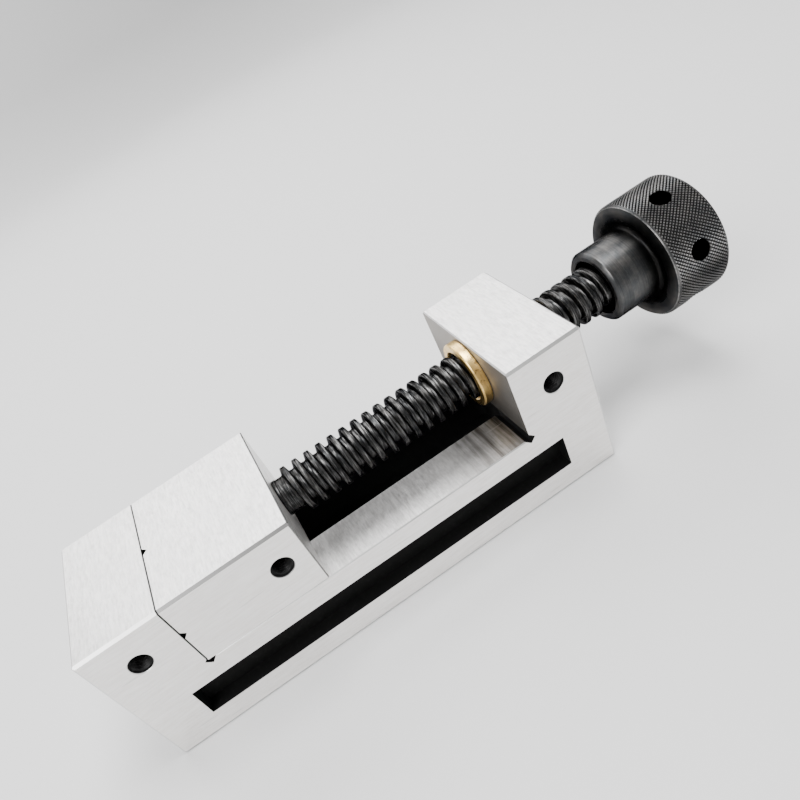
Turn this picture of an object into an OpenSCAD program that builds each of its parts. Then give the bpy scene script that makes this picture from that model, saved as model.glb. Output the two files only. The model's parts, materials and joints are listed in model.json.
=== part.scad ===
// Precision screw vise for grinding and toolroom work, drawn closed.
// Millimetres. X runs from the fixed jaw to the knob, Z is up, and the origin is
// the centre of the body's underside. Each sub-part is one module and one node.

/* [Body] */
// Length of the body, end face to end face
body_l = 203.5; // [185:0.5:260]
// Width of the body and of both jaws
body_w = 63; // [52:0.5:90]
// Height of the bed above the underside
bed_h = 34.8; // [32:0.2:45]
// Height of the jaws and of the rear block above the bed
jaw_h = 32; // [30:0.5:45]
// Length of the fixed jaw
fixed_jaw_l = 32; // [20:0.5:45]
// Length of the rear block that holds the nut
rear_block_l = 31.5; // [24:0.5:45]
// Chamfer along the outside edges
edge_chamfer = 1; // [0.3:0.1:2]
// Small chamfer along the edges of the bed rails
rail_chamfer = 0.4; // [0.2:0.1:0.8]
// Depth of the relief cut where a face meets the bed
relief_depth = 2.2; // [1:0.1:3]

/* [Bed and channels] */
// Width of the slot down the middle of the bed
bed_slot_w = 20; // [16:0.5:26]
// Thickness of the two rails beside the bed slot
rail_t = 13.8; // [10:0.2:16]
// Wall between a side groove and the channel under the bed
channel_wall = 6; // [4:0.5:8]
// Solid length left at each end of the channel under the bed
channel_end = 20; // [16:0.5:30]
// Corner radius of the channel and the bed slot
channel_corner = 3; // [1:0.5:5]
// Solid length left at each end of the side clamping grooves
side_groove_end = 19.2; // [12:0.2:30]
// Height of the side clamping grooves
side_groove_h = 14.7; // [8:0.1:16]
// Depth of the side clamping grooves
side_groove_depth = 6.5; // [3:0.5:8]
// Height of the lower edge of the side grooves above the underside
side_groove_z = 10.7; // [8:0.1:14]

/* [Movable jaw] */
// Length of the movable jaw
jaw_l = 51; // [40:0.5:60]
// Gap between the jaw faces when the vise is closed
closed_gap = 0.35; // [0.05:0.05:0.5]
// Gap on each sliding face between the movable jaw and the bed
slide_gap = 0.05; // [0.02:0.01:0.1]
// Depth of the two V grooves in the movable jaw's face
v_groove_depth = 1.8; // [1:0.1:3]
// Distance of the guide tongue's rear end from the rear face of the jaw
tongue_inset = 4; // [3:0.5:8]
// Gap between the guide tongue and the front end of the bed slot when closed
tongue_end_gap = 0.8; // [0.3:0.1:3]
// Thickness of the keeper plate under the rails
keeper_t = 7; // [5:0.5:9]
// Gap between the keeper plate and each side of the channel
keeper_side_gap = 1.5; // [0.5:0.1:2]

/* [Side holes] */
// Height of the spindle axis and of the side holes above the bed
axis_rise = 16.8; // [15.5:0.1:18]
// Major diameter of the tapped side holes for work stops
side_hole_d = 8; // [6:0.5:10]
// Depth of the tapped side holes
side_hole_depth = 11; // [8:0.5:13]
// Distance of the movable jaw's side hole from its rear face
jaw_hole_inset = 10.6; // [8:0.1:14]
// Major diameter of the grub screws behind the side holes
grub_d = 6; // [4:0.5:6]
// Diameter of the grub screws' dog points
dog_d = 4; // [2.5:0.5:4]

/* [Spindle] */
// Major diameter of the spindle's thread
thread_d = 20; // [16:0.5:24]
// Pitch of the thread, which is also the jaw's travel for one turn
thread_pitch = 5.35; // [4:0.05:6]
// Depth of the thread from crest to root
thread_depth = 2.8; // [2:0.1:3]
// Radial running clearance of the spindle in the nut and in the jaw
running_gap = 0.05; // [0.02:0.01:0.09]
// Diameter of the spindle's nose and tail
nose_d = 14; // [11:0.5:15]
// Length of the nose inside the movable jaw
nose_l = 24; // [20:0.5:30]
// Depth of the groove that the dog points run in
nose_groove_depth = 1.5; // [1:0.1:2]
// Distance from the movable jaw's rear face to the first thread crest
first_crest = 7.9; // [6:0.1:12]
// Thickness of the thrust disc in front of the nose
thrust_t = 3; // [2:0.5:5]

/* [Nut] */
// Diameter of the nut's flange
nut_flange_d = 28; // [26:0.5:30]
// Thickness of the nut's flange
nut_flange_t = 4.2; // [3:0.1:6]
// Rounding of the nut flange's front edge
nut_flange_round = 1.2; // [0.4:0.1:2]
// Wall of the nut's barrel outside the thread
nut_wall = 2.5; // [2:0.1:2.8]
// Distance of the nut's barrel end from the rear face of the block
nut_recess = 2; // [0.5:0.5:5]

/* [Knob] */
// Distance from the rear block to the knob's hub when the vise is closed
knob_gap = 27.5; // [10:0.5:40]
// Diameter of the hub
hub_d = 30.6; // [29:0.2:36]
// Length of the hub
hub_l = 19.5; // [12:0.5:30]
// Diameter of the recess where the thread enters the hub
hub_recess_d = 23.4; // [22:0.2:24]
// Depth of the recess where the thread enters the hub
hub_recess_depth = 7; // [4:0.5:10]
// Radius of the fillet between the hub and the knob's head
hub_fillet = 1.5; // [0.5:0.1:3]
// Diameter of the knob's knurled head
knob_d = 50; // [44:0.5:60]
// Length of the knob's knurled head
knob_l = 24; // [18:0.5:30]
// Chamfer at both edges of the knurled head
knob_chamfer = 1; // [0.5:0.1:2]
// Number of tommy bar holes round the head
bar_hole_count = 6; // [4:1:8]
// Diameter of the tommy bar holes
bar_hole_d = 8; // [5:0.5:9]
// Depth of the tommy bar holes
bar_hole_depth = 12; // [8:0.5:14]
// Angle of the first tommy bar hole above the horizontal
bar_hole_phase = 14.5; // [0:0.5:59]
// Diameter of the pin through the hub
knob_pin_d = 5; // [3:0.5:6]

/* [Keeper screws] */
// Shank diameter of the keeper screws
keeper_screw_d = 5; // [4:0.5:5]
// Head diameter of the keeper screws
keeper_head_d = 8.5; // [8:0.1:9]
// Height of the keeper screws' heads
keeper_head_h = 5; // [4:0.5:5]
// Gap between two keeper screw heads side by side
keeper_head_gap = 0.8; // [0.5:0.1:1.5]
// Distance of the keeper screws from the ends of the plate
keeper_screw_inset = 8; // [6:0.5:12]
// Length of the keeper screws' thread in the tongue
keeper_grip = 10; // [6:0.5:12]
// Thickness of the spring washers
washer_t = 1.2; // [0.8:0.1:1.6]

/* [Hidden] */
$fn = 64;
eps = 0.01;             // overshoot of a cut past the surface it opens
cut_over = 0.3;         // overshoot of a slanted cut past the faces it crosses
assembly_gap = 0.05;    // radial gap of screws, pins and sleeves that do not move
fit_gap = 0.3;          // end gap of dog points and washers

// Body stations along X
front_x = -body_l / 2;
rear_x = body_l / 2;
fixed_face_x = front_x + fixed_jaw_l;
block_face_x = rear_x - rear_block_l;
jaw_front_x = fixed_face_x + closed_gap;
jaw_rear_x = jaw_front_x + jaw_l;
top_z = bed_h + jaw_h;
axis_z = bed_h + axis_rise;

// Channel under the bed, tongue and keeper plate
ledge_z = bed_h - rail_t;
channel_w = body_w - 2 * (side_groove_depth + channel_wall);
channel_front_x = front_x + channel_end;
channel_l = body_l - 2 * channel_end;
bed_slot_x = fixed_face_x + relief_depth;
bed_slot_l = block_face_x + relief_depth / 2 - bed_slot_x;
tongue_w = bed_slot_w - 2 * slide_gap;
tongue_x = bed_slot_x + channel_corner + tongue_end_gap;
tongue_l = jaw_rear_x - tongue_inset - tongue_x;
keeper_top_z = ledge_z - slide_gap;
keeper_w = channel_w - 2 * keeper_side_gap;
keeper_bottom_z = keeper_top_z - keeper_t;
keeper_screw_y = (keeper_head_d + keeper_head_gap) / 2;
keeper_screw_x = [tongue_x + keeper_screw_inset, tongue_x + tongue_l - keeper_screw_inset];

// Side holes and grub screws
fixed_hole_x = front_x + fixed_jaw_l / 2;
jaw_hole_x = jaw_rear_x - jaw_hole_inset;
block_hole_x = rear_x - rear_block_l / 2;
grub_outer = body_w / 2 - side_hole_depth;

// Nut
nut_bore_r = thread_d / 2 + running_gap;
nut_barrel_r = thread_d / 2 + nut_wall;

// Spindle stations along X
nose_r = nose_d / 2;
root_r = thread_d / 2 - thread_depth;
nose_x = jaw_rear_x - nose_l;
jaw_bore_l = nose_l + thrust_t + slide_gap;
crest_half = thread_pitch * 0.18;
root_half = thread_pitch * 0.32;
hub_x = rear_x + knob_gap;
head_x = hub_x + hub_l;
knob_end_x = head_x + knob_l;
tail_x = hub_x + hub_recess_depth;
thread_start_x = jaw_rear_x + first_crest;
crest_count = floor((tail_x - thread_start_x - root_half) / thread_pitch) + 1;
groove_half = dog_d / 2 + fit_gap;

// A solid of revolution about the spindle axis; points are [x, radius].
module turned(points) {
    translate([0, 0, axis_z])
        rotate([0, 90, 0])
            rotate_extrude($fn = 96)
                polygon([for (p = points) [p[1], p[0]]]);
}

// A straight bar along Y with its section drawn in X and Z.
module across(width) {
    translate([0, width / 2, 0])
        rotate([90, 0, 0])
            linear_extrude(width)
                children();
}

// A box centred on Y whose four long edges along X are cut by a chamfer.
module chamfered_bar(x, z, length, width, height, top, bottom) {
    half = width / 2;
    translate([x, 0, z])
        rotate([90, 0, 90])
            linear_extrude(length)
                polygon([
                    [-half + bottom, 0], [half - bottom, 0], [half, bottom],
                    [half, height - top], [half - top, height],
                    [-half + top, height], [-half, height - top], [-half, bottom]]);
}

// A plan outline with cut corners at the front end, the rear end or both.
module plan_block(x, length, width, front, rear) {
    half = width / 2;
    end = x + length;
    linear_extrude(top_z + eps)
        polygon([
            [x, -half + front], [x + front, -half], [end - rear, -half], [end, -half + rear],
            [end, half - rear], [end - rear, half], [x + front, half], [x, half - front]]);
}

// A flat-bottomed pocket with rounded corners, open downwards or upwards.
module pocket(x, z, length, width, height, corner) {
    translate([x, -width / 2, z])
        linear_extrude(height) {
            translate([corner, 0]) square([length - 2 * corner, width]);
            translate([0, corner]) square([length, width - 2 * corner]);
            for (i = [corner, length - corner], j = [corner, width - corner])
                translate([i, j]) circle(corner, $fn = 32);
        }
}

// Things placed on the left (-Y) side or, mirrored, on the right side.
module on_side(side) {
    if (side == "left") children();
    else mirror([0, 1, 0]) children();
}

// A tapped side hole with a countersunk mouth, drilled in from the -Y side.
module side_hole(x) {
    mouth_r = side_hole_d / 2 + 0.5;
    translate([x, -body_w / 2, axis_z])
        rotate([-90, 0, 0]) {
            translate([0, 0, -eps]) cylinder(h = side_hole_depth + eps, d = side_hole_d);
            translate([0, 0, -eps]) cylinder(h = 0.5 + eps, r1 = mouth_r + eps, r2 = side_hole_d / 2);
        }
}

// The smaller tapped hole behind a side hole, which breaks fully into a bore of bore_r.
module grub_hole(x, bore_r) {
    inner_y = sqrt(bore_r * bore_r - grub_d * grub_d / 4) - fit_gap;
    translate([x, -grub_outer - eps, axis_z])
        rotate([-90, 0, 0])
            cylinder(h = grub_outer + eps - inner_y, d = grub_d);
}

// A headless screw with a hexagon socket and a dog point at radius tip_r.
module grub_screw(x, shoulder_r, tip_r) {
    thread_r = grub_d / 2 - assembly_gap;
    length = grub_outer - shoulder_r;
    translate([x, -shoulder_r, axis_z])
        rotate([90, 0, 0])
            difference() {
                union() {
                    cylinder(h = length - 0.5, r = thread_r);
                    translate([0, 0, length - 0.5]) cylinder(h = 0.5, r1 = thread_r, r2 = thread_r - 0.5);
                    translate([0, 0, tip_r - shoulder_r])
                        cylinder(h = shoulder_r - tip_r + eps, d = dog_d);
                }
                translate([0, 0, length * 0.55]) cylinder(h = length, d = grub_d * 0.55, $fn = 6);
            }
}

module body_blank() {
    c = edge_chamfer;
    intersection() {
        across(body_w)
            polygon([
                [front_x + c, 0], [rear_x - c, 0], [rear_x, c], [rear_x, top_z - c],
                [rear_x - c, top_z], [block_face_x + c / 2, top_z], [block_face_x, top_z - c / 2],
                [block_face_x, bed_h], [fixed_face_x, bed_h], [fixed_face_x, top_z],
                [front_x + c, top_z], [front_x, top_z - c], [front_x, c]]);
        chamfered_bar(front_x, 0, body_l, body_w, top_z, c, c);
        plan_block(front_x, body_l, body_w, c, c);
    }
}

module side_groove() {
    translate([front_x + side_groove_end, -body_w / 2 - eps, side_groove_z])
        cube([body_l - 2 * side_groove_end, side_groove_depth + eps, side_groove_h]);
}

// A 45 degree cut along one long edge of the bed; side is -1 or 1 towards the open side.
module edge_cut(x, length, y, side) {
    c = rail_chamfer + cut_over;
    translate([x, y + side * cut_over, bed_h + cut_over])
        rotate([90, 0, 90])
            linear_extrude(length)
                polygon([[0, 0], [-side * (c + cut_over), 0], [0, -c - cut_over]]);
}

module rail_edge_cuts() {
    outer_l = block_face_x - relief_depth / 2 - bed_slot_x;
    for (side = [-1, 1]) {
        edge_cut(bed_slot_x, outer_l, side * body_w / 2, side);
        edge_cut(bed_slot_x + channel_corner, bed_slot_l - 2 * channel_corner, side * bed_slot_w / 2, -side);
    }
}

// Cuts that keep the corners between the upright faces and the bed clear of burrs.
module relief_cuts() {
    r = relief_depth;
    e = cut_over;
    across(body_w + 1)
        translate([fixed_face_x + r / 2, bed_h])
            polygon([[-r, 0], [0, -r], [r + e, e], [-r / 2 + e, r / 2 + e]]);
    across(body_w + 1)
        translate([block_face_x, bed_h])
            polygon([[-r - e, e], [0, -r], [r, 0], [-e, r + e]]);
}

module body() {
    color("#d3d1cc")
    difference() {
        body_blank();
        pocket(channel_front_x, -eps, channel_l, channel_w, ledge_z + eps, channel_corner);
        pocket(bed_slot_x, ledge_z - eps, bed_slot_l, bed_slot_w, rail_t + cut_over, channel_corner);
        rail_edge_cuts();
        relief_cuts();
        for (side = ["left", "right"])
            on_side(side) {
                side_groove();
                side_hole(fixed_hole_x);
                side_hole(block_hole_x);
                grub_hole(block_hole_x, nut_barrel_r);
            }
        turned([
            [block_face_x - 1, 0], [rear_x + 1, 0],
            [rear_x + 1, nut_barrel_r + 1.8], [rear_x - 0.8, nut_barrel_r + assembly_gap],
            [block_face_x - 1, nut_barrel_r + assembly_gap]]);
    }
}

module spindle_nut() {
    flange_x = block_face_x - nut_flange_t;
    flange_r = nut_flange_d / 2;
    f = nut_flange_round;
    end_x = rear_x - nut_recess;
    dimple_r = nut_barrel_r - 1;
    color("#c9973f")
    difference() {
        turned(concat(
            [[flange_x, nut_bore_r + 0.6]],
            [for (a = [0:15:90])
                [flange_x + f - f * cos(a), flange_r - f + f * sin(a)]],
            [[block_face_x - 0.4, flange_r], [block_face_x, flange_r - 0.4],
            [block_face_x, nut_barrel_r], [end_x - 0.6, nut_barrel_r], [end_x, nut_barrel_r - 0.6],
            [end_x, nut_bore_r + 0.6], [end_x - 0.6, nut_bore_r], [flange_x + 0.6, nut_bore_r]]));
        for (side = ["left", "right"])
            on_side(side)
                translate([block_hole_x, -dimple_r, axis_z])
                    rotate([90, 0, 0])
                        cylinder(h = nut_wall + 1, d = dog_d + 2 * assembly_gap);
    }
}

module nut_lock_screw(side) {
    color("#2c2b2e")
    on_side(side)
        grub_screw(block_hole_x, nut_barrel_r + assembly_gap, nut_barrel_r - 1 + assembly_gap);
}

module v_grooves() {
    v = v_groove_depth;
    section = [[-eps, -v - eps], [v, 0], [-eps, v + eps]];
    translate([jaw_front_x, 0, bed_h - 1])
        linear_extrude(jaw_h + 2)
            polygon(section);
    across(body_w + 1)
        translate([jaw_front_x, axis_z])
            polygon(section);
}

module movable_jaw() {
    c = edge_chamfer;
    base_z = bed_h + slide_gap;
    color("#dad8d3")
    difference() {
        union() {
            intersection() {
                across(body_w)
                    polygon([
                        [jaw_front_x, base_z], [jaw_rear_x - c / 2, base_z],
                        [jaw_rear_x, base_z + c / 2], [jaw_rear_x, top_z - c / 2],
                        [jaw_rear_x - c / 2, top_z], [jaw_front_x, top_z]]);
                chamfered_bar(jaw_front_x, base_z, jaw_l, body_w, top_z - base_z, c, 0.2);
                plan_block(jaw_front_x, jaw_l, body_w, 0, c / 2);
            }
            translate([tongue_x, -tongue_w / 2, keeper_top_z])
                cube([tongue_l, tongue_w, base_z - keeper_top_z + 1]);
        }
        v_grooves();
        turned([
            [jaw_rear_x - jaw_bore_l, 0], [jaw_rear_x + 1, 0],
            [jaw_rear_x + 1, nose_r + 1.6], [jaw_rear_x - 0.6, nose_r + running_gap],
            [jaw_rear_x - jaw_bore_l, nose_r + running_gap]]);
        for (side = ["left", "right"])
            on_side(side) {
                side_hole(jaw_hole_x);
                grub_hole(jaw_hole_x, nose_r);
            }
        for (x = keeper_screw_x, y = [-keeper_screw_y, keeper_screw_y])
            translate([x, y, keeper_top_z - eps])
                cylinder(h = keeper_grip + 2, r = keeper_screw_d / 2 + assembly_gap);
    }
}

module keeper_plate() {
    color("#8d8d8c")
    difference() {
        chamfered_bar(tongue_x, keeper_bottom_z, tongue_l, keeper_w, keeper_t, 0.5, 1);
        for (x = keeper_screw_x, y = [-keeper_screw_y, keeper_screw_y])
            translate([x, y, keeper_bottom_z - 1])
                cylinder(h = keeper_t + 2, r = keeper_screw_d / 2 + 0.25);
    }
}

// Keeper screws and washers are numbered 0 to 3, front pair first.
function keeper_spot(i) = [
    keeper_screw_x[floor(i / 2)],
    (i % 2 == 0 ? -1 : 1) * keeper_screw_y,
    keeper_bottom_z - washer_t];

module keeper_screw(i) {
    head_r = keeper_head_d / 2;
    color("#2c2b2e")
    translate(keeper_spot(i))
        difference() {
            union() {
                cylinder(h = washer_t + keeper_t + keeper_grip, d = keeper_screw_d);
                translate([0, 0, 0.5 - keeper_head_h]) cylinder(h = keeper_head_h - 0.5, r = head_r);
                translate([0, 0, -keeper_head_h]) cylinder(h = 0.5, r1 = head_r - 0.5, r2 = head_r);
            }
            translate([0, 0, -keeper_head_h - 1])
                cylinder(h = keeper_head_h * 0.55 + 1, d = keeper_head_d * 0.53, $fn = 6);
        }
}

module spring_washer(i) {
    inner_r = keeper_screw_d / 2 + 0.2;
    outer_r = keeper_head_d / 2 - 0.1;
    dish = washer_t / 4;
    color("#a9a9a8")
    translate(keeper_spot(i))
        rotate_extrude()
            polygon([
                [inner_r, 0], [outer_r, dish], [outer_r, washer_t], [inner_r, washer_t - dish]]);
}

module thrust_disc() {
    x = jaw_rear_x - jaw_bore_l;
    r = nose_r - fit_gap;
    color("#c9973f")
    turned([[x, 0], [x, r - 0.4], [x + 0.4, r], [x + thrust_t - 0.4, r], [x + thrust_t, r - 0.4],
            [x + thrust_t, 0]]);
}

module spindle_lock_screw(side) {
    color("#2c2b2e")
    on_side(side)
        grub_screw(jaw_hole_x, nose_r + fit_gap, nose_r - nose_groove_depth + fit_gap);
}

// One ring of the thread's profile, as [x, radius] points up and down its tooth.
function thread_tooth(x) = [
    [x - root_half, root_r], [x - crest_half, thread_d / 2],
    [x + crest_half, thread_d / 2], [x + root_half, root_r]];

module spindle() {
    groove_r = nose_r - nose_groove_depth;
    neck_r = root_r + 0.3;
    ring_r = root_r - 0.3;
    ring_w = 0.5;
    neck_front = [for (x = [jaw_rear_x + 2.4, jaw_rear_x + 4])
        for (p = [[x, neck_r], [x, ring_r], [x + ring_w, ring_r], [x + ring_w, neck_r]]) p];
    teeth = [for (i = [0:crest_count - 1], p = thread_tooth(thread_start_x + i * thread_pitch)) p];
    color("#232225")
    difference() {
        turned(concat(
            [[nose_x, 0], [nose_x, nose_r - 1], [nose_x + 1, nose_r],
             [jaw_hole_x - groove_half, nose_r], [jaw_hole_x - groove_half, groove_r],
             [jaw_hole_x + groove_half, groove_r], [jaw_hole_x + groove_half, nose_r],
             [jaw_rear_x + fit_gap, nose_r], [jaw_rear_x + fit_gap, neck_r]],
            neck_front,
            [[jaw_rear_x + 4.8, neck_r], [jaw_rear_x + 4.8, root_r]],
            teeth,
            [[tail_x, root_r], [tail_x, nose_r], [knob_end_x - 0.8, nose_r],
             [knob_end_x, nose_r - 0.8], [knob_end_x, 2], [knob_end_x - 3, 0]]));
        knob_pin_place() cylinder(h = nose_d, d = knob_pin_d + 2 * assembly_gap);
    }
}

module bar_hole() {
    r = bar_hole_d / 2;
    translate([0, 0, knob_d / 2 - bar_hole_depth]) cylinder(h = bar_hole_depth + 1, r = r);
    translate([0, 0, knob_d / 2 - 0.6]) cylinder(h = 1.6, r1 = r, r2 = r + 1.6);
}

module knob() {
    hub_r = hub_d / 2;
    head_r = knob_d / 2;
    c = knob_chamfer;
    f = hub_fillet;
    recess_r = hub_recess_d / 2;
    bore_r = nose_r + assembly_gap;
    dish_r = head_r * 0.62;
    color("#2b2a2d")
    difference() {
        turned(concat(
            [[hub_x, recess_r + 0.6], [hub_x, hub_r - 1.3], [hub_x + 1.3, hub_r],
             [head_x - f, hub_r]],
            [for (a = [15:15:90]) [head_x - f + f * sin(a), hub_r + f - f * cos(a)]],
            [[head_x, head_r - c], [head_x + c, head_r], [knob_end_x - c, head_r],
             [knob_end_x, head_r - c], [knob_end_x, dish_r + 1], [knob_end_x - 1, dish_r],
             [knob_end_x - 1, bore_r], [tail_x, bore_r], [tail_x, recess_r],
             [hub_x + 0.6, recess_r]]));
        for (i = [0:bar_hole_count - 1])
            translate([head_x + knob_l / 2, 0, axis_z])
                rotate([90 - bar_hole_phase - i * 360 / bar_hole_count, 0, 0])
                    bar_hole();
        knob_pin_place() cylinder(h = hub_d, d = knob_pin_d + 2 * assembly_gap);
    }
}

// The pin hole starts past the spindle's centre and leaves on the far underside of the hub.
module knob_pin_place() {
    translate([tail_x + (head_x - tail_x) / 2, 0, axis_z])
        rotate([-135, 0, 0])
            translate([0, 0, -nose_r / 2])
                children();
}

module knob_pin() {
    r = knob_pin_d / 2;
    length = nose_r / 2 + hub_d / 2 - 0.4;
    color("#b9b9b8")
    knob_pin_place() {
        translate([0, 0, assembly_gap]) cylinder(h = length - 0.5, r = r);
        translate([0, 0, length - 0.5]) cylinder(h = 0.5, r1 = r, r2 = r - 0.5);
    }
}

body();
spindle_nut();
nut_lock_screw("left");  // nut_lock_screw_left
nut_lock_screw("right");  // nut_lock_screw_right
movable_jaw();
keeper_plate();
keeper_screw(0);  // keeper_screw_1
keeper_screw(1);  // keeper_screw_2
keeper_screw(2);  // keeper_screw_3
keeper_screw(3);  // keeper_screw_4
spring_washer(0);  // spring_washer_1
spring_washer(1);  // spring_washer_2
spring_washer(2);  // spring_washer_3
spring_washer(3);  // spring_washer_4
thrust_disc();
spindle_lock_screw("left");  // spindle_lock_screw_left
spindle_lock_screw("right");  // spindle_lock_screw_right
spindle();
knob();
knob_pin();
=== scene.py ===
"""Precision screw vise: ground steel body and sliding jaw, black spindle in a brass nut, and a
knurled knob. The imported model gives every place; the pieces made here add the real helical
thread, the diamond knurl and the threads in the tapped side holes."""

import math

import bpy
import numpy as np
from mathutils import Matrix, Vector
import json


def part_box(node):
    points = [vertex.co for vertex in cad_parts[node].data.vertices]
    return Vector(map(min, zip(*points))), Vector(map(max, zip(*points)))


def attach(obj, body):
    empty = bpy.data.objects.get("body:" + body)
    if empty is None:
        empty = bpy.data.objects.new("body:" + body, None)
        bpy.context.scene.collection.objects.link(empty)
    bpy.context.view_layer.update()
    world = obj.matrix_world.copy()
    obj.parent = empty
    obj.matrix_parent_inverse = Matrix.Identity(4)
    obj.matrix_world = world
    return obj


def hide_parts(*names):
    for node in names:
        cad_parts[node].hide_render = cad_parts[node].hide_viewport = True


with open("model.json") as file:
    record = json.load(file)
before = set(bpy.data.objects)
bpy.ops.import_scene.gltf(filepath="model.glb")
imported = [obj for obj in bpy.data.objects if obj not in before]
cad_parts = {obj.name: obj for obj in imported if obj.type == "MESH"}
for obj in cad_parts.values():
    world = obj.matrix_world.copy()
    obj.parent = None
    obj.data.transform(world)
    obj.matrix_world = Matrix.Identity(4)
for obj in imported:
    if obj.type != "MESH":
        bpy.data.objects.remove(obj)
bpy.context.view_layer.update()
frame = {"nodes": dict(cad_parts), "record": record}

# ---------------------------------------------------------------- values, in metres

MM = 0.001
TAU = 2 * math.pi
record = frame["record"]
mounts = {m["name"]: m for m in record["mounts"]}

BODY_HIGH = np.array(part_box("body")[1])
JAW_LOW, JAW_HIGH = (np.array(c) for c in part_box("movable_jaw"))
KNOB_LOW, KNOB_HIGH = (np.array(c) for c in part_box("knob"))
SPINDLE_LOW = np.array(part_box("spindle")[0])
NUT_LOW, NUT_HIGH = (np.array(c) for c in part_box("spindle_nut"))

# body and jaw
HALF_W = BODY_HIGH[1]
BED_Z = 34.8 * MM
LEDGE_Z = 21 * MM  # underside of the two rails beside the bed slot
FIXED_X = -69.75 * MM  # face of the fixed jaw
JAW_X = JAW_LOW[0]
BLOCK_X = 70.25 * MM  # face of the rear block
RELIEF = 2.2 * MM
V_DEPTH = 1.8 * MM
HOLE_MOUTH_R = 4.25 * MM

# spindle
AXIS_Z = (KNOB_LOW[2] + KNOB_HIGH[2]) / 2
PITCH = record["behaviour"]["couplings"][0]["ratio"] * TAU
CREST_R = 10 * MM
ROOT_R = 7.2 * MM
NOSE_R = 7 * MM
FIRST_CREST = 7.9 * MM  # from the jaw's rear face, at CREST_ANGLE
CREST_ANGLE = math.radians(142.3)  # from +Y towards +Z
THREAD_START_ANGLE = math.radians(-80)

# knob
HUB_X = KNOB_LOW[0]
HUB_R = 15.3 * MM
HUB_RECESS_R = 11.7 * MM
HEAD_X = HUB_X + 19.5 * MM
HEAD_R = (KNOB_HIGH[2] - KNOB_LOW[2]) / 2
KNOB_END = KNOB_HIGH[0]
TAIL_X = HUB_X + 7 * MM  # bottom of the hub's recess
EDGE_C = 1 * MM  # chamfer on the head's two edges


# ---------------------------------------------------------------- surfaces

def loop_faces(rows, columns, first=0, close_rows=False):
    """Quads of a grid whose columns run round an axis and whose rows run along it: each cell takes
    its own corner, the next column's, that one's next row and its own next row. close_rows joins
    the last row to the first."""
    here = first + np.arange(rows * columns).reshape(rows, columns)
    turn = np.roll(here, -1, axis=1)
    if not close_rows:
        return np.stack([here[:-1], turn[:-1], turn[1:], here[1:]], axis=-1).reshape(-1, 4)
    along, both = np.roll(here, -1, axis=0), np.roll(turn, -1, axis=0)
    return np.stack([here, turn, both, along], axis=-1).reshape(-1, 4)


def around(x, r, angle):
    """Points at x along the spindle's axis and r from it; angle goes from +Y towards +Z."""
    x, r, angle = np.broadcast_arrays(x, r, angle)
    return np.stack([x, r * np.cos(angle), AXIS_Z + r * np.sin(angle)], axis=-1)


def eased(points, radius, steps=3):
    """An open profile with each corner p replaced by steps points of the curve
    (1-t)^2 a + 2t(1-t) p + t^2 b, where a and b lie on its two edges, radius away or 0.45 of the
    edge if that is less. Its two ends stay."""
    p = np.asarray(points, float)
    radius = np.broadcast_to(np.asarray(radius, float), len(p))[:, None]
    back, on = np.roll(p, 1, axis=0) - p, np.roll(p, -1, axis=0) - p
    size_back = np.linalg.norm(back, axis=1, keepdims=True)
    size_on = np.linalg.norm(on, axis=1, keepdims=True)
    a = p + back / size_back * np.minimum(radius, 0.45 * size_back)
    b = p + on / size_on * np.minimum(radius, 0.45 * size_on)
    t = np.linspace(0, 1, steps)[None, :, None]
    curve = (1 - t) ** 2 * a[:, None] + 2 * t * (1 - t) * p[:, None] + t**2 * b[:, None]
    return np.vstack([p[:1], curve[1:-1].reshape(-1, 2), p[-1:]])


def piece(name, points, faces, body, finish, sharp=35):
    """One closed mesh made an object that rides on a body and has one finish. Edges sharper than
    sharp degrees stay crisp."""
    mesh = bpy.data.meshes.new(name)
    mesh.from_pydata(np.asarray(points).tolist(), [], [list(f) for f in faces])
    mesh.validate()
    mesh.shade_smooth()
    mesh.set_sharp_from_angle(angle=math.radians(sharp))
    mesh.materials.append(finish)
    made = bpy.data.objects.new(name, mesh)
    bpy.context.scene.collection.objects.link(made)
    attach(made, body)
    return made


def carved(target, cutter):
    """The target's mesh with the cutter's volume taken out of it for good."""
    cut = target.modifiers.new("cut", "BOOLEAN")
    cut.operation, cut.solver, cut.object = "DIFFERENCE", "MANIFOLD", cutter
    bpy.context.view_layer.update()
    shown = target.evaluated_get(bpy.context.evaluated_depsgraph_get())
    mesh = bpy.data.meshes.new_from_object(shown)
    target.modifiers.remove(cut)
    target.data = mesh
    bpy.data.objects.remove(cutter)
    return mesh


# ---------------------------------------------------------------- shader maths

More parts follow.
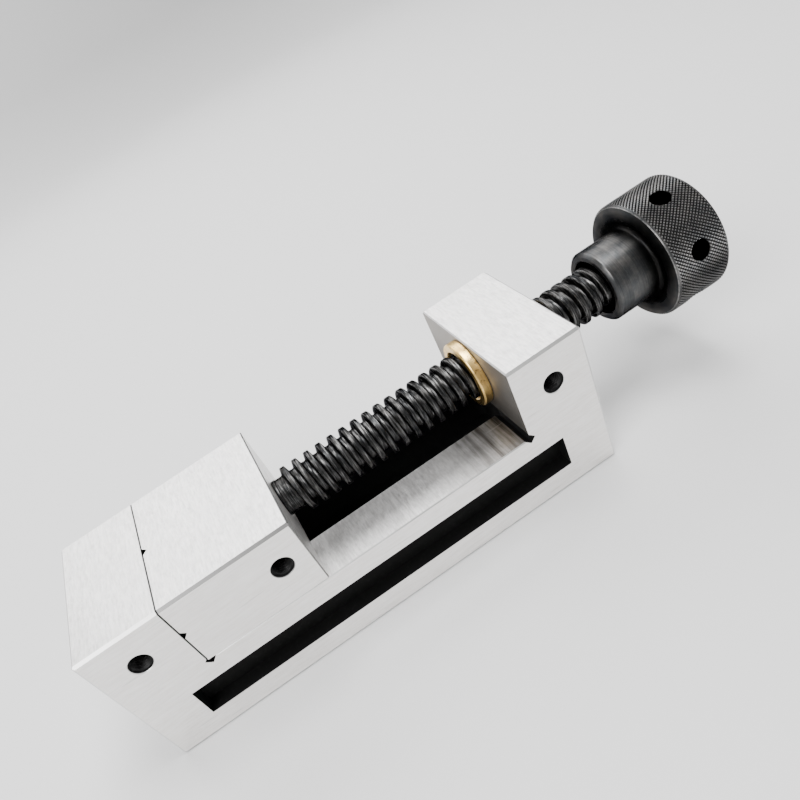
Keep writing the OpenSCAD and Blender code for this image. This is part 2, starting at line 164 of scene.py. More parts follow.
class Wire:
    """A value or colour in a material. + - * / on it add Math nodes, and node() adds any other."""

    def __init__(self, tree, socket=None):
        self.tree, self.socket = tree, socket

    def node(self, kind, settings=(), inputs=(), out=0):
        """A node of that type. settings are set first; a ramp's are its stops, (place, grey or
        colour) each. inputs are values or wires by socket name or number."""
        made = self.tree.nodes.new(kind)
        for name, value in dict(settings).items():
            if name == "stops":
                ramp = made.color_ramp
                while len(ramp.elements) < len(value):
                    ramp.elements.new(0.5)
                for stop, (at, shade) in zip(ramp.elements, value):
                    stop.position = at
                    stop.color = (*(shade if np.ndim(shade) else (shade,) * 3), 1)
            else:
                setattr(made, name, value)
        for name, value in dict(inputs).items():
            if isinstance(value, Wire):
                self.tree.links.new(value.socket, made.inputs[name])
            else:
                made.inputs[name].default_value = value
        return Wire(self.tree, made.outputs[out])

    def math(self, operation, *values, clamp=False):
        settings = {"operation": operation, "use_clamp": clamp}
        return self.node("ShaderNodeMath", settings, enumerate(values))

    def __add__(self, other):
        return self.math("ADD", self, other)

    def __sub__(self, other):
        return self.math("SUBTRACT", self, other)

    def __rsub__(self, other):
        return self.math("SUBTRACT", other, self)

    def __mul__(self, other):
        return self.math("MULTIPLY", self, other)

    def __truediv__(self, other):
        return self.math("DIVIDE", self, other)

    def __pow__(self, other):
        return self.math("POWER", self, other)

    def __abs__(self):
        return self.math("ABSOLUTE", self)

    __radd__, __rmul__ = __add__, __mul__

    def clamped(self):
        return self.math("ADD", self, 0.0, clamp=True)

    def ramp(self, low, high):
        """0 below low, 1 above high and straight between them."""
        return ((self - low) / (high - low)).clamped()

    def between(self, low, high, soft=0.05 * MM):
        """1 from low to high, falling to 0 over soft inside both."""
        return self.ramp(low, low + soft) * (1 - self.ramp(high - soft, high))

    def mixed(self, a, b):
        """The colour a where this is 0 and b where it is 1."""
        # a Mix node has one set of sockets for each data type: 6, 7 and 2 are the colours' ones
        inputs = {"Factor": self, 6: a, 7: b}
        return self.node("ShaderNodeMix", {"data_type": "RGBA"}, inputs, out=2)

    def stretched(self, scale):
        """This vector with each part multiplied by its own number."""
        settings = {"operation": "MULTIPLY"}
        return self.node("ShaderNodeVectorMath", settings, {0: self, 1: scale})

    def noise(self, scale=1.0, detail=2.0, rough=0.5):
        """Smooth noise about 0.5 at this vector."""
        inputs = {"Vector": self, "Scale": scale, "Detail": detail, "Roughness": rough}
        return self.node("ShaderNodeTexNoise", {}, inputs)

    def parts(self):
        """The three numbers of this vector."""
        made = self.node("ShaderNodeSeparateXYZ", {}, {"Vector": self}).socket.node
        return [Wire(self.tree, socket) for socket in made.outputs]


def grey(value, warm=0.0):
    """A grey colour; warm shifts it a little towards red and away from blue."""
    return (value * (1 + warm), value, value * (1 - warm), 1)


def start(name):
    """A new material: (material, its shader, object coordinates, a wire to add nodes with)."""
    made = bpy.data.materials.new(name)
    made.use_nodes = True
    tree = made.node_tree
    shader = tree.nodes["Principled BSDF"]
    wire = Wire(tree)
    place = wire.node("ShaderNodeTexCoord", out="Object")
    return made, shader, place, wire


def finish_with(shader, wire, colour, rough, height, depth, metal=1.0):
    """Sets the shader's colour, roughness and metal, and bumps it by height times depth metres."""
    for name, value in {"Base Color": colour, "Roughness": rough, "Metallic": metal}.items():
        if isinstance(value, Wire):
            wire.tree.links.new(value.socket, shader.inputs[name])
        else:
            shader.inputs[name].default_value = value
    shader.inputs["Specular IOR Level"].default_value = 0.12
    bump = wire.node("ShaderNodeBump", {}, {"Height": height, "Distance": depth, "Strength": 1.0})
    wire.tree.links.new(bump.socket, shader.inputs["Normal"])


def span(a, b):
    """The length of the vector whose two parts are a and b."""
    return (a * a + b * b) ** 0.5


def inside(parts, low, high):
    """1 within a box of the object's own space, by its x, distance from the middle plane, and z."""
    x, y, z = parts
    return x.between(low[0], high[0]) * y.between(low[1], high[1]) * z.between(low[2], high[2])


def nearer(away, limit):
    """1 where away is up to limit, 0 from 0.05 mm further on."""
    return 1 - away.ramp(limit, limit + 0.05 * MM)


def ground_steel(name, oxide, chamfer_grey):
    """Surface ground steel: fine grinding lines across the faces, faint clouding and scratches, and
    painted light and shade: lighter side faces, darker chamfers, dark zones on the bed by the slot
    and the rear block, a warm dark reflection on the rear block's face and a dark line at the gap
    between the jaws. oxide(x, distance from the middle plane, z) is 1 where black oxide is left."""
    made, shader, place, wire = start(name)
    x, y, z = place.parts()
    wide = abs(y)
    normal = wire.node("ShaderNodeTexCoord", out="Normal")
    end, side, top = (abs(part).ramp(0.85, 0.95) for part in normal.parts())
    slanted = (1 - top - side - end).clamped()
    near = 0.2 * MM  # a mask for one plane reaches this far either side of it
    bed = z.between(BED_Z - near, BED_Z + near) * top
    facing_bed = end * x.between(BLOCK_X - near, BLOCK_X + near) * z.ramp(BED_Z, BED_Z + MM)
    gap = x.between(FIXED_X - near, JAW_X + near)
    grips = end * gap
    gap_shade = gap * z.ramp(BED_Z + MM, BED_Z + 1.1 * MM)

    # grinding lines: across the top faces, along the sides and the ends, none on the chamfers
    across = place.stretched((1100, 200, 200)).noise(1.0, 5.0, 0.7)
    along = place.stretched((90, 90, 900)).noise(1.0, 5.0, 0.7)
    lines = across * top + along * (side + end) + 0.5 * slanted
    streaks = place.stretched((380, 12, 30)).noise(1.0, 4.0, 0.6)
    clouds = place.noise(45.0, 4.0, 0.6)
    mottle = place.noise(650.0, 4.0, 0.65)
    scratch = place.stretched((60, 900, 900)).noise(1.0, 1.0).ramp(0.73, 0.78)

    # the steel's grey, layer on layer: the first mix is the tone, each later one what lies on it,
    # or painted light and shade where a comment says so
    tone = clouds * 0.4 + mottle * 0.6
    steel = tone.ramp(0.34, 0.66).mixed(grey(0.46, 0.018), grey(0.66, 0.014))
    # painted light: the faces that look sideways are made lighter than the rest
    steel = (side * 0.75).mixed(steel, grey(0.84, 0.035))
    steel = (lines.ramp(0.36, 0.64) * 0.7).mixed(steel, grey(0.93, 0.014))
    steel = (bed * (1 - streaks.ramp(0.38, 0.66)) * 0.3).mixed(steel, grey(0.36, 0.02))
    # painted shade: the bed is darker towards the slot, for the shadow and reflection of the
    # spindle over it
    steel = (bed * (1 - wide.ramp(9 * MM, 24 * MM)) * 0.3).mixed(steel, grey(0.4, 0.01))
    # painted shade: the bed near the rear block goes nearly black in streaks, for the spindle's
    # shadow and dark reflection
    painted_shade_by_block = bed * x.ramp(28 * MM, 58 * MM) * (0.6 + 0.4 * streaks.ramp(0.4, 0.6))
    steel = (painted_shade_by_block * 0.96).mixed(steel, grey(0.05, 0.14))
    # painted reflection and shade: the rear block's face toward the bed is warm brown, darker
    # towards the bed, for the brass nut and the spindle it reflects
    lower = 1 - z.ramp(BED_Z + 2 * MM, BED_Z + 24 * MM)
    steel = (facing_bed * 0.9).mixed(steel, lower.mixed(grey(0.26, 0.08), grey(0.07, 0.14)))
    steel = (grips * 0.8).mixed(steel, grey(0.4, 0.02))
    # painted shade: the chamfers take the darker grey chamfer_grey
    steel = (slanted * 0.9).mixed(steel, grey(chamfer_grey, 0.01))
    # painted shade: a dark line either side of the gap between the jaws
    steel = (gap_shade * 0.85).mixed(steel, grey(0.04, 0.01))
    steel = (scratch * 0.3).mixed(steel, grey(0.42))
    rough = 0.4 + (clouds - 0.5) * 0.2 + (lines - 0.5) * 0.2 + (facing_bed + grips) * 0.15

    black = oxide(x, wide, z).clamped()
    colour = black.mixed(steel, mottle.ramp(0.55, 0.8).mixed(grey(0.004), grey(0.012)))
    height = lines * (1 - black * 0.5) + scratch * 0.8 + mottle * 0.5
    finish_with(shader, wire, colour, rough + black * 0.2, height, 0.008 * MM, 1 - black)
    return made


def turning_rings(wire, x, radius, density, detail, rough):
    """Noise over (x, radius) alone, so it makes rings round the spindle's axis."""
    across = wire.node("ShaderNodeCombineXYZ", {}, {"X": x * density, "Y": radius * density})
    return across.noise(1.0, detail, rough)


def turned_metal(name, base, worn, rough, metal, depth, stain=None):
    """Metal turned in a lathe: fine rings round the spindle's axis on its end faces and round its
    length, with a little wear and clouding. worn is the worn colour, and stain the colour of its
    spots, if it has any."""
    made, shader, place, wire = start(name)
    x, y, z = place.parts()
    radius = span(y, z - AXIS_Z)
    rings = turning_rings(wire, x, radius, 2600, 3.0, 0.7)
    clouds = place.noise(120.0, 4.0, 0.6)
    wear = (clouds * 0.6 + rings * 0.4).ramp(0.47, 0.66)
    colour = (wear * 0.7).mixed(base, worn)
    if stain:
        spots = place.noise(330.0, 4.0, 0.7)
        colour = (spots.ramp(0.57, 0.66) * 0.75).mixed(colour, stain)
    shade = rough + (clouds - 0.5) * 0.2 + (rings - 0.5) * 0.15
    finish_with(shader, wire, colour, shade, rings, depth, metal)
    return made


def black_oxide(name, tone, depth, streaked, wear, dark):
    """Black oxide on turned steel, oiled: near black of about that tone, with fine turning rings,
    faint brown clouds, dark lines and bare streaks round the axis, as much as streaked says, and
    bare steel where wear(radius, patches) is above 0. Shade is painted in as well: near black
    where dark(x, radius) is 1, down in the hollows and corners that light hardly reaches."""
    made, shader, place, wire = start(name)
    x, y, z = place.parts()
    radius = span(y, z - AXIS_Z)
    rings = turning_rings(wire, x, radius, 2200, 4.0, 0.75)
    streaks = place.stretched((2700, 140, 140)).noise(1.0, 4.0, 0.7)
    clouds = place.noise(160.0, 4.0, 0.65)
    flecks = place.noise(1300.0, 3.0, 0.7)
    patches = (flecks * 0.6 + clouds * 0.4).ramp(0.4, 0.62)
    worn = (wear(radius, patches) + streaks.ramp(0.52, 0.64) * streaked).clamped()
    colour = clouds.ramp(0.4, 0.7).mixed(grey(tone * 0.7, -0.04), grey(tone * 1.3, 0.05))
    colour = (rings.ramp(0.35, 0.65) * 0.5).mixed(colour, grey(tone * 0.3))
    dark_lines = (1 - streaks.ramp(0.4, 0.5)) * min(0.8, streaked * 2)
    colour = dark_lines.mixed(colour, grey(tone * 0.1))
    colour = (worn * 0.9).mixed(colour, grey(0.3, 0.01))
    # painted shade: near black in the hollows and corners that dark gives
    colour = (dark(x, radius) * 0.97).mixed(colour, grey(0.0005))
    rough = 0.36 + (clouds - 0.5) * 0.25 + (rings - 0.5) * 0.25
    shader.inputs["Specular Tint"].default_value = (0.25, 0.25, 0.26, 1)
    finish_with(shader, wire, colour, rough, rings + streaks * 0.6 + flecks * 0.3, depth, 1.0)
    return made


# ---------------------------------------------------------------- finishes

def side_hole_oxide(name, x, wide, z):
    """Black down a tapped side hole and over its mouth, but not on the face round it."""
    hole_x = mounts[name]["pos_m"][0]
    on_face = wide.ramp(HALF_W - 0.03 * MM, HALF_W - 0.01 * MM)
    return nearer(span(x - hole_x, z - AXIS_Z), HOLE_MOUTH_R) * (1 - on_face)


def body_oxide(x, wide, z):
    """Black in the side grooves, the bed slot, the channel under it, the reliefs and the holes."""
    past = 0.1 * MM  # how far a box reaches past a wall, or stays short of the outer face
    side_groove = ((-82.6 * MM, HALF_W - 7 * MM, 10.6 * MM), (82.6 * MM, HALF_W - past, 25.5 * MM))
    bed_slot = ((-69 * MM, -MM, LEDGE_Z - past), (72 * MM, 10 * MM + past, BED_Z - 0.35 * MM))
    channel = ((-82 * MM, -MM, 0.4 * MM), (82 * MM, 19 * MM + past, LEDGE_Z + past))
    black = nearer(abs(x - (FIXED_X + RELIEF / 2)) + abs(z - BED_Z), RELIEF)
    black += nearer(abs(x - BLOCK_X) + abs(z - BED_Z), RELIEF)
    for low, high in (side_groove, bed_slot, channel):
        black += inside((x, wide, z), low, high)
    for name in ("fixed_jaw_side_hole_left", "rear_block_side_hole_left"):
        black += side_hole_oxide(name, x, wide, z)
    return black


def jaw_oxide(x, wide, z):
    """Black on the guide tongue, in the two V grooves and in the side holes of the movable jaw."""
    tongue_half_w = 9.99 * MM
    deep = x - JAW_X
    black = nearer(z, BED_Z) * nearer(wide, tongue_half_w)
    black += nearer(wide + deep, V_DEPTH) + nearer(abs(z - AXIS_Z) + deep, V_DEPTH)
    return black + side_hole_oxide("movable_jaw_side_hole_left", x, wide, z)


def thread_wear(radius, patches):
    """The edges of the crests are worn bright in patches."""
    return radius.between(CREST_R - 0.5 * MM, CREST_R - 0.01 * MM, 0.1 * MM) * patches


def knurl_wear(radius, patches):
    """The points of the knurl are worn, more so in patches, and so is the rim of the head."""
    rim = radius.between(HEAD_R - EDGE_C - 0.15 * MM, HEAD_R - 0.7 * MM)
    return radius.ramp(HEAD_R - 0.3 * MM, HEAD_R) * (0.35 + 0.65 * patches) + rim * patches * 0.8


def hidden_thread(x, radius):
    """Painted shade: 1 in the hub's recess, where the thread goes in, 0 again on the tail past it.
    """
    return x.ramp(HUB_X + 0.5 * MM, HUB_X + 3 * MM) * nearer(x, TAIL_X + MM)


def knob_corners(x, radius):
    """Painted shade: 1 down in the tommy bar holes and in the hub's recess, less down in the
    knurl's grooves, and towards the corner between the hub and the head, by the distance from it."""
    holes = (radius.between(12.9 * MM, HEAD_R - 0.7 * MM)
             * x.between(HEAD_X + 7 * MM, HEAD_X + 17 * MM))
    recess = nearer(radius, HUB_RECESS_R + 0.1 * MM) * nearer(x, TAIL_X + MM)
    grooves = 1 - radius.ramp(HEAD_R - 0.55 * MM, HEAD_R - 0.22 * MM)
    grooves *= x.between(HEAD_X + EDGE_C, KNOB_END - EDGE_C, 0.2 * MM)
    corner = 1 - span(x - HEAD_X, radius - HUB_R).ramp(2.5 * MM, 9 * MM)
    return (holes + recess + grooves * 0.8 + corner * 0.9 * nearer(x, HEAD_X + 0.1 * MM)).clamped()


# the last number is the grey of the painted shade on the chamfers
body_steel = ground_steel("ground_steel_body", body_oxide, 0.68)
jaw_steel = ground_steel("ground_steel_jaw", jaw_oxide, 0.13)
milled_steel = turned_metal("milled_steel", grey(0.36), grey(0.5), 0.42, 1.0, 0.004 * MM)
thread_black = black_oxide("black_oxide_thread", 0.045, 0.03 * MM, 0.5, thread_wear, hidden_thread)
knob_black = black_oxide("black_oxide_knob", 0.10, 0.008 * MM, 0.04, knurl_wear, knob_corners)
screw_black = turned_metal("black_screw", grey(0.008), grey(0.04), 0.4, 0.0, 0.003 * MM)
brass = turned_metal("turned_brass", (0.88, 0.62, 0.23, 1), (0.48, 0.27, 0.08, 1), 0.3, 1.0,
                     0.003 * MM, stain=(0.13, 0.06, 0.02, 1))
spring_steel = turned_metal("spring_steel", grey(0.45), grey(0.6), 0.3, 1.0, 0.002 * MM)
pin_steel = turned_metal("ground_pin", grey(0.6), grey(0.72), 0.25, 1.0, 0.002 * MM)

finish_of = {
    "ground_steel": body_steel,
    "machined_steel": milled_steel,
    "nut_brass": brass,
    "black_screw": screw_black,
    "spring_steel": spring_steel,
    "plain_pin_steel": pin_steel,
    "black_oxide_thread": thread_black,
    "black_oxide_knob": knob_black,
}
for part in record["subparts"]:
    finish = jaw_steel if part["node"] == "movable_jaw" else finish_of[part["material_slot"]]
    for holder in frame["nodes"][part["node"]].material_slots:
        holder.material = finish


# ---------------------------------------------------------------- spindle

def spindle():
    """The spindle as one surface. Its thread is a sheared grid: column a of n stands a/n of a turn
    on and is moved a/n of the pitch along, so the rows follow the helix, and the last column meets
    the first one m rows on. Across a tooth the radius is root + depth * fade * h, where h is the
    tooth's shape and fade runs in and out over 0.35 of a turn."""
    n, turns = 96, 27
    crest, root = 0.18 * PITCH, 0.32 * PITCH  # from a tooth's middle to the edges of its flank
    # half a tooth from the root's middle up: the way from the tooth's middle, and the shape h there
    side = np.array([PITCH / 2, root + 0.30 * MM, root - 0.03 * MM, (crest + root) / 2,
                     crest + 0.06 * MM, crest - 0.14 * MM])
    half = np.array([0, 0.0, 0.07, 0.5, 0.93, 1.0])
    offset = np.concatenate([-side, side[:0:-1]])
    shape = np.concatenate([half, half[:0:-1]])
    m = len(offset)
    lead = PITCH * (CREST_ANGLE - THREAD_START_ANGLE) / TAU
    first = JAW_HIGH[0] + FIRST_CREST - lead
    angle = THREAD_START_ANGLE + TAU * np.arange(n) / n

    row = np.arange(turns * m + m + 1)
    centre = (first + PITCH * (row // m))[:, None] + PITCH * np.arange(n) / n
    x = centre + offset[row % m][:, None]
    run = 0.35 * PITCH
    grow = np.clip((centre - first) / run, 0, 1)
    fall = np.clip((first + PITCH * turns - centre) / run, 0, 1)
    fade = (grow * grow * (3 - 2 * grow)) * (fall * fall * (3 - 2 * fall))
    r = ROOT_R + (CREST_R - ROOT_R) * fade * shape[row % m][:, None]
    thread = around(x, r, angle)

    # the number of each point that is used: only column 0 keeps the rows past the last turn,
    # where the last column meets it
    last = turns * m
    index = np.full(thread.shape[:2], -1)
    index[: last + 1] = 0
    index[:, 0] = 0
    used = index >= 0
    index[used] = np.arange(used.sum())
    points = [thread[used]]
    a, b = index[:last, :-1], index[:last, 1:]
    faces = np.stack([a, b, index[1 : last + 1, 1:], index[1 : last + 1, :-1]], axis=-1)
    faces = faces.reshape(-1, 4).tolist()
    a, b = index[: last + 1, -1], index[m : last + m + 1, 0]
    faces += np.stack([a[:-1], b[:-1], b[1:], a[1:]], axis=-1).tolist()

    def shaft(profile):
        """Adds turned rows for a profile of (x, radius) points. Gives the numbers of the first
        points of its first and last rows."""
        first_point = sum(len(p) for p in points)
        rows = around(profile[:, :1], profile[:, 1:], angle)
        points.append(rows.reshape(-1, 3))
        faces.extend(loop_faces(len(rows), n, first_point).tolist())
        return first_point, first_point + (len(rows) - 1) * n

    jaw_x, nose_x = JAW_HIGH[0], SPINDLE_LOW[0]
    neck = ROOT_R + 0.3 * MM
    lock_x = mounts["movable_jaw_side_hole_left"]["pos_m"][0]
    groove, deep = 2.4 * MM, 1.5 * MM  # the dog points' groove: half its width, and its depth
    edge = 0.12 * MM
    nose = [
        (nose_x, MM), (nose_x, NOSE_R - MM), (nose_x + MM, NOSE_R),
        (lock_x - groove, NOSE_R), (lock_x - groove, NOSE_R - deep),
        (lock_x + groove, NOSE_R - deep), (lock_x + groove, NOSE_R),
        (jaw_x + 0.3 * MM, NOSE_R), (jaw_x + 0.3 * MM, neck),
    ]
    for cut_x in (jaw_x + 0.5 * MM, jaw_x + 1.1 * MM):
        cut_end, bottom = cut_x + 0.2 * MM, neck - 0.4 * MM
        nose += [(cut_x, neck), (cut_x, bottom), (cut_end, bottom), (cut_end, neck)]
    nose += [(jaw_x + 1.6 * MM, neck), (jaw_x + 1.7 * MM, ROOT_R)]
    nose += [(first - PITCH / 2 - 0.1 * MM, ROOT_R)]
    nose_first, nose_last = shaft(eased(nose, edge))
    chamfer, centre_hole_r = 0.8 * MM, 2.2 * MM
    tail = [
        (x[last, -1] + 0.3 * MM, ROOT_R), (TAIL_X - 0.4 * MM, ROOT_R), (TAIL_X - 0.1 * MM, NOSE_R),
        (KNOB_END - chamfer, NOSE_R), (KNOB_END, NOSE_R - chamfer), (KNOB_END, centre_hole_r),
        (KNOB_END - 1.2 * MM, MM),
    ]
    tail_first, tail_last = shaft(eased(tail, edge))

    # the thread's first and last rows are joined to the shaft's, with one larger face each where
    # the helix steps on by a pitch, and the two end faces close the surface
    ring, start_row = nose_last + np.arange(n), index[0]
    faces += np.stack([ring[:-1], ring[1:], start_row[1:], start_row[:-1]], axis=-1).tolist()
    faces.append([ring[-1], ring[0], *index[: m + 1, 0], index[0, -1]])
    ring, end_row = tail_first + np.arange(n), index[last]
    faces += np.stack([end_row[:-1], end_row[1:], ring[1:], ring[:-1]], axis=-1).tolist()
    faces.append([index[last, -1], *index[last : last + m + 1, 0][::-1], ring[0], ring[-1]])
    faces.append((nose_first + np.arange(n))[::-1])
    faces.append(tail_last + np.arange(n))
    made = piece("spindle_thread", np.vstack(points), faces, "screw",
                 thread_black)
    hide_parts("spindle")


# ---------------------------------------------------------------- knob

def bar_hole_cutters():
    """Six turned plugs with a mouth coned at 45 degrees, one for each tommy bar hole, in one mesh.
    Each point is centre + along * direction + r * (cos, sin) across it."""
    first = mounts["bar_hole_1"]
    depth, r, n, holes = 12 * MM, first["dims"]["r_mm"] * MM, 48, 6
    cone, past = 0.55 * MM, 0.7 * MM
    along = HEAD_R + np.array([-depth, -depth, -cone, past])
    wide = np.array([0.5 * MM, r, r, r + cone + past])
    x = first["pos_m"][0]
    lean = math.atan2(first["axis"][2], first["axis"][1])
    turn = TAU * np.arange(n) / n
    points, faces = [], []
    for hole in range(holes):
        angle = lean - TAU * hole / holes
        out = np.array([0, math.cos(angle), math.sin(angle)])
        across = np.array([0, -math.sin(angle), math.cos(angle)])
        rows = (np.array([x, 0, AXIS_Z]) + along[:, None, None] * out
                + wide[:, None, None] * (np.cos(turn)[:, None] * across
                                         + np.sin(turn)[:, None] * np.array([1.0, 0, 0])))
        base = hole * rows.shape[0] * n
        points.append(rows.reshape(-1, 3))
        faces += loop_faces(len(along), n, base).tolist()
        faces.append((base + np.arange(n))[::-1])
        faces.append(base + (len(along) - 1) * n + np.arange(n))
    mesh = bpy.data.meshes.new("bar_hole_plugs")
    mesh.from_pydata(np.vstack(points).tolist(), [], [list(f) for f in faces])
    made = bpy.data.objects.new("bar_hole_plugs", mesh)
    bpy.context.scene.collection.objects.link(made)
    return made


def knob():
    """The knob as one closed loop of rows: hub, front of the head, knurled band, dished back, bore
    and recess. On the band the radius is head - depth * (1 - h), where h grows from 0 in the
    grooves to 1 on the points of a lattice of two families of grooves at 45 degrees, and the
    band's two edges are cut by a cone. The tommy bar holes are then cut into it."""
    n, apart = 400, 4  # cells round the band, and from one groove to the next
    depth = 0.6 * MM
    fillet, hub_chamfer, lip, dish = 1.5 * MM, 1.3 * MM, 0.6 * MM, 1 * MM
    dish_r, bore_r = HEAD_R * 0.62, NOSE_R + 0.05 * MM
    bend = np.linspace(0, math.pi / 2, 7)[1:-1]
    front = [(HUB_X, HUB_RECESS_R + lip), (HUB_X, HUB_R - hub_chamfer),
             (HUB_X + hub_chamfer, HUB_R), (HEAD_X - fillet, HUB_R)]
    front += [(HEAD_X - fillet + fillet * math.sin(b), HUB_R + fillet - fillet * math.cos(b))
              for b in bend]
    front += [(HEAD_X, HUB_R + fillet), (HEAD_X, HEAD_R - EDGE_C)]
    front = eased(front, [0] + [0.2 * MM] * 3 + [0.05 * MM] * (len(front) - 4))
    back = eased([
        (KNOB_END, HEAD_R - EDGE_C), (KNOB_END, dish_r + dish), (KNOB_END - dish, dish_r),
        (KNOB_END - dish, bore_r), (TAIL_X, bore_r), (TAIL_X, HUB_RECESS_R),
        (HUB_X + lip, HUB_RECESS_R), (HUB_X, HUB_RECESS_R + lip)], 0.15 * MM)[:-1]

    # the band's cells are square, so the grooves run along their diagonals
    cell_w = TAU * HEAD_R / n
    count = int((KNOB_END - HEAD_X) / cell_w / apart) * apart + 1
    x = np.linspace(HEAD_X, KNOB_END, count)[1:-1]
    i, j = np.arange(n)[None, :], np.arange(len(x))[:, None]
    p, q = (i + j) / apart, (i - j) / apart
    near = np.minimum(abs(p - np.round(p)), abs(q - np.round(q)))
    lattice = HEAD_R - depth * (1 - np.clip(near / 0.4, 0, 1) ** 0.9)
    cone = HEAD_R - EDGE_C + np.minimum(x - HEAD_X, KNOB_END - x)[:, None]
    band = np.minimum(lattice, cone)

    r = np.vstack([np.broadcast_to(front[:, 1:], (len(front), n)), band,
                   np.broadcast_to(back[:, 1:], (len(back), n))])
    along = np.concatenate([front[:, 0], x, back[:, 0]])
    points = around(along[:, None], r, TAU * np.arange(n) / n).reshape(-1, 3)
    quads = loop_faces(len(along), n, 0, close_rows=True).reshape(len(along), n, 4)
    # each of the band's cells is split along the diagonal that its groove takes
    start_row, end_row = len(front) - 1, len(front) + len(x)
    even = ((i - np.arange(-1, len(x))[:, None]) % 2 == 0)[..., None]
    cell = quads[start_row:end_row]
    one = np.where(even, cell[..., [0, 1, 2]], cell[..., [0, 1, 3]])
    two = np.where(even, cell[..., [0, 2, 3]], cell[..., [1, 2, 3]])
    faces = (quads[:start_row].reshape(-1, 4).tolist() + one.reshape(-1, 3).tolist()
             + two.reshape(-1, 3).tolist() + quads[end_row:].reshape(-1, 4).tolist())
    made = piece("knob_knurled", points, faces, "screw", knob_black)
    mesh = carved(made, bar_hole_cutters())
    mesh.shade_smooth()
    mesh.set_sharp_from_angle(angle=math.radians(32))
    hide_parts("knob")


# ---------------------------------------------------------------- threads in the side holes

def side_hole_thread(name, mount, body):
    """The thread of a tapped side hole as a thin sleeve inside it: outer radius r, inner radius
    r - depth * fade * h(along / pitch - turn), with h a triangle wave and fade falling to 0 at the
    mouth. The turn's sign follows the way the hole faces, so the thread is right-handed in the
    holes that face right and its mirror image, left-handed, in the holes that face left."""
    pitch, depth, n, rows_a_turn = 1.25 * MM, 0.62 * MM, 48, 6
    wall, run_out = 0.02 * MM, 0.6 * MM
    at, axis = np.array(mount["pos_m"]), np.array(mount["axis"])
    r, length = mount["dims"]["r_mm"] * MM - 0.01 * MM, mount["dims"]["length_mm"] * MM
    rows = int(length / pitch * rows_a_turn)
    along = np.linspace(-length / 2 + 0.05 * MM, length / 2 - 0.35 * MM, rows)[:, None]
    turn = np.arange(n)[None, :] / n
    wave = abs(((along / pitch - turn * np.sign(axis[1])) % 1) * 2 - 1)
    fade = np.clip((along.max() - along) / run_out, 0, 1)
    radii = np.vstack([r - wall - depth * wave * fade, np.full((2, n), r)])
    where = np.vstack([along, along[-1:], along[:1]])
    a = np.array([1.0, 0, 0])
    b = np.cross(axis, a)
    across = np.cos(TAU * turn)[..., None] * a + np.sin(TAU * turn)[..., None] * b
    points = at + where[..., None] * axis + radii[..., None] * across
    faces = loop_faces(len(where), n, 0, close_rows=True)
    piece(name, points.reshape(-1, 3), faces, body, screw_black, 50)


# ---------------------------------------------------------------- nut

def spindle_nut():
    """The flanged brass nut as one closed loop of turned rows: a flange with a rounded front edge,
    the barrel in the block, and a bore with rings of the helix
    r = bore + depth * wave(x / pitch - turn), where wave is a trapezoid."""
    n, rows_a_turn = 144, 12
    x0, x1 = NUT_LOW[0], NUT_HIGH[0]
    flange_r, bore = (NUT_HIGH[2] - NUT_LOW[2]) / 2, CREST_R + 0.06 * MM
    barrel_r = bore + 2.5 * MM
    rounding, mouth, chamfer, depth = 0.9 * MM, 0.9 * MM, 0.5 * MM, 0.5 * MM
    back_x = BLOCK_X - 0.05 * MM
    angle = TAU * np.arange(n) / n
    bend = np.linspace(0, math.pi / 2, 9)
    outer = [(x0, bore + mouth)]
    outer += [(x0 + rounding - rounding * math.cos(b), flange_r - rounding + rounding * math.sin(b))
              for b in bend]
    outer += [(back_x - 0.4 * MM, flange_r), (back_x, flange_r - chamfer), (back_x, barrel_r),
              (x1 - chamfer, barrel_r), (x1, barrel_r - chamfer), (x1, bore + mouth)]
    outer = eased(outer, 0.12 * MM)
    inner = np.linspace(x1 - mouth, x0 + mouth, int((x1 - x0) / PITCH * rows_a_turn))
    wave = abs(((inner[:, None] / PITCH - angle / TAU) % 1) * 2 - 1)
    thread = bore + depth * (1 - np.clip((wave - 0.3) / 0.25, 0, 1))
    r = np.vstack([np.broadcast_to(outer[:, 1:], (len(outer), n)), thread])
    along = np.concatenate([outer[:, 0], inner])
    faces = loop_faces(len(along), n, 0, close_rows=True)
    points = around(along[:, None], r, angle).reshape(-1, 3)
    made = piece("nut_flanged", points, faces, "base", brass)
    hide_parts("spindle_nut")


# ---------------------------------------------------------------- build

spindle()
knob()
spindle_nut()
for name, mount in mounts.items():
    if "_side_hole_" in name:
        rides_on = "jaw" if name.startswith("movable_jaw") else "base"
        side_hole_thread(name.replace("_side_hole", "_hole_thread"), mount, rides_on)


# ---------------------------------------------------------------- floor, light and camera

def studio():
    """A pale round floor that curves up into a wall all round: radius and height follow a quarter
    circle between the flat part and the wall."""
    n, flat, bend, wall = 96, 1.0, 0.6, 1.4
    t = np.linspace(0, math.pi / 2, 20)
    r = np.concatenate([[0.05, 0.5], flat + bend * np.sin(t), [flat + bend]])
    z = np.concatenate([[0, 0], bend * (1 - np.cos(t)), [wall]])
    turn = TAU * np.arange(n) / n
    points = np.stack([r[:, None] * np.cos(turn), r[:, None] * np.sin(turn),
                       np.broadcast_to(z[:, None], (len(z), n))], axis=-1).reshape(-1, 3)
    mesh = bpy.data.meshes.new("floor")
    faces = loop_faces(len(r), n)[:, ::-1].tolist() + [list(range(n))]
    mesh.from_pydata(points.tolist(), [], faces)
    mesh.shade_smooth()
    made, shader, place, wire = start("pale_floor")
    colour = place.noise(3.0, 3.0).mixed(grey(0.67), grey(0.69))
    finish_with(shader, wire, colour, 0.7, place.noise(900.0, 2.0), 0.02 * MM, 0.0)
    mesh.materials.append(made)
    floor = bpy.data.objects.new("floor", mesh)
    bpy.context.scene.collection.objects.link(floor)


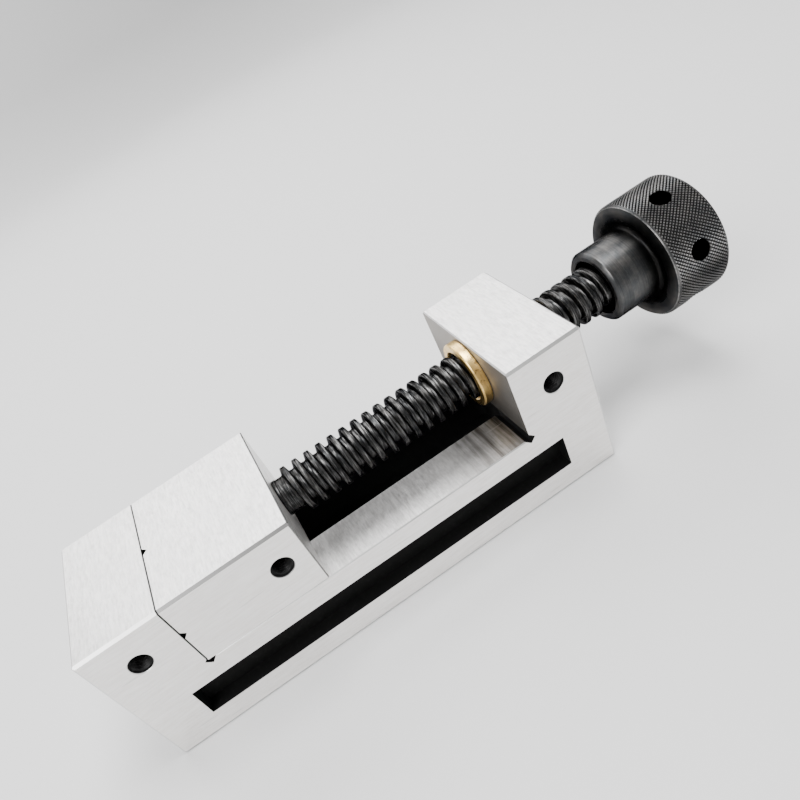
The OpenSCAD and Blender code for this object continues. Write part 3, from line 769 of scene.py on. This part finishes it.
def softbox(name, spot, aim, size, power):
    """A soft area light at spot, facing aim."""
    data = bpy.data.lights.new(name, "AREA")
    data.shape, data.energy = "RECTANGLE", power
    data.size, data.size_y = size
    lamp = bpy.data.objects.new(name, data)
    back = np.array(spot, float) - np.array(aim, float)
    back /= np.linalg.norm(back)
    right = np.cross([0, 0, 1.0], back)
    right /= np.linalg.norm(right)
    turn = np.column_stack([right, np.cross(back, right), back])
    lamp.matrix_world = Matrix.Translation(spot) @ Matrix(turn.tolist()).to_4x4()
    bpy.context.scene.collection.objects.link(lamp)


def camera(target, distance, azimuth, elevation, roll, lens, shift):
    """A camera at a distance from its target. It looks along azimuth, from +Y towards +X, down by
    elevation, and is rolled clockwise."""
    az, el, ro = (math.radians(v) for v in (azimuth, elevation, roll))
    look = np.array([math.sin(az) * math.cos(el), math.cos(az) * math.cos(el), -math.sin(el)])
    level = np.array([math.cos(az), -math.sin(az), 0])
    rise = np.cross(level, look)
    right = level * math.cos(ro) - rise * math.sin(ro)
    up = level * math.sin(ro) + rise * math.cos(ro)
    data = bpy.data.cameras.new("camera")
    data.lens, data.sensor_width, data.clip_start = lens, 36, 0.01
    data.shift_x, data.shift_y = shift
    eye = bpy.data.objects.new("camera", data)
    turn = Matrix(np.column_stack([right, up, -look]).tolist()).to_4x4()
    eye.matrix_world = Matrix.Translation(np.array(target) - look * distance) @ turn
    bpy.context.scene.collection.objects.link(eye)
    bpy.context.scene.camera = eye


studio()
middle = (0.02, 0, 0.05)
softbox("back_softbox", (0.05, 0.75, 0.72), middle, (1.3, 0.6), 12.5)
softbox("key_softbox", (-0.55, -0.45, 0.8), middle, (0.6, 0.6), 13)
softbox("top_softbox", (0.2, 0.05, 0.95), middle, (0.5, 0.4), 11)
softbox("wall_softbox", (-0.4, 0.95, 0.9), (-0.9, 1.5, 0.1), (0.8, 0.5), 6)
world = bpy.data.worlds.new("pale_world")
world.use_nodes = True
sky = world.node_tree.nodes["Background"]
sky.inputs["Color"].default_value = grey(0.9)
sky.inputs["Strength"].default_value = 0.42
bpy.context.scene.world = world
camera(target=(0.025, 0, 0.0595), distance=0.2666, azimuth=6.11, elevation=37.46, roll=30.07,
       lens=31.86, shift=(0.04, 0.026))
